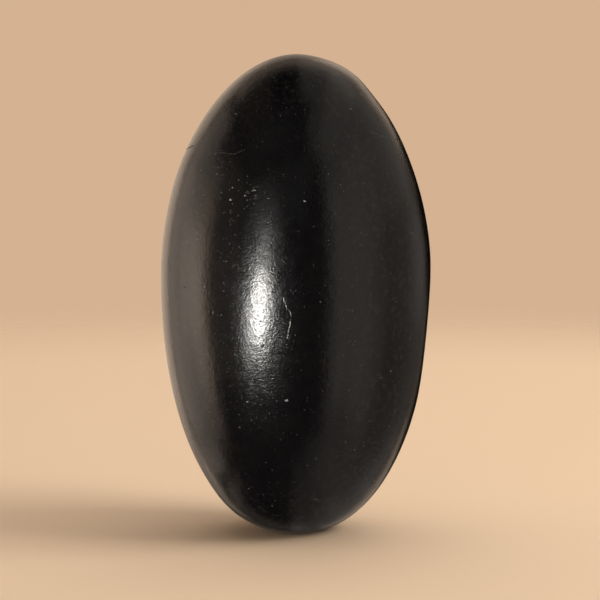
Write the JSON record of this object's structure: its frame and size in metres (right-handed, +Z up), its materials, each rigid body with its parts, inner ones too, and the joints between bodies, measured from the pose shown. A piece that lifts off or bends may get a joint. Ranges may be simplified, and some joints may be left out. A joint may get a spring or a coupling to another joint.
{
  "type": "shiva lingam stone",
  "caption": "Tall egg of polished black river stone with a soft worn side and a small worn flat that it stands on.",
  "frame": {"origin": "on the ground under the middle of the stone's width and depth, on its worn flat foot", "axes": "+Z up along the stone's length, +X to the side with the broad worn face, -Y to the front"},
  "size_m": [0.0566, 0.0544, 0.1],
  "materials": {
    "stone": "satin, hand polished, with faint olive and brown mottling and a few pale pits"
  },
  "bodies": {
    "root": {"stone": "stone"}
  },
  "joints": []
}
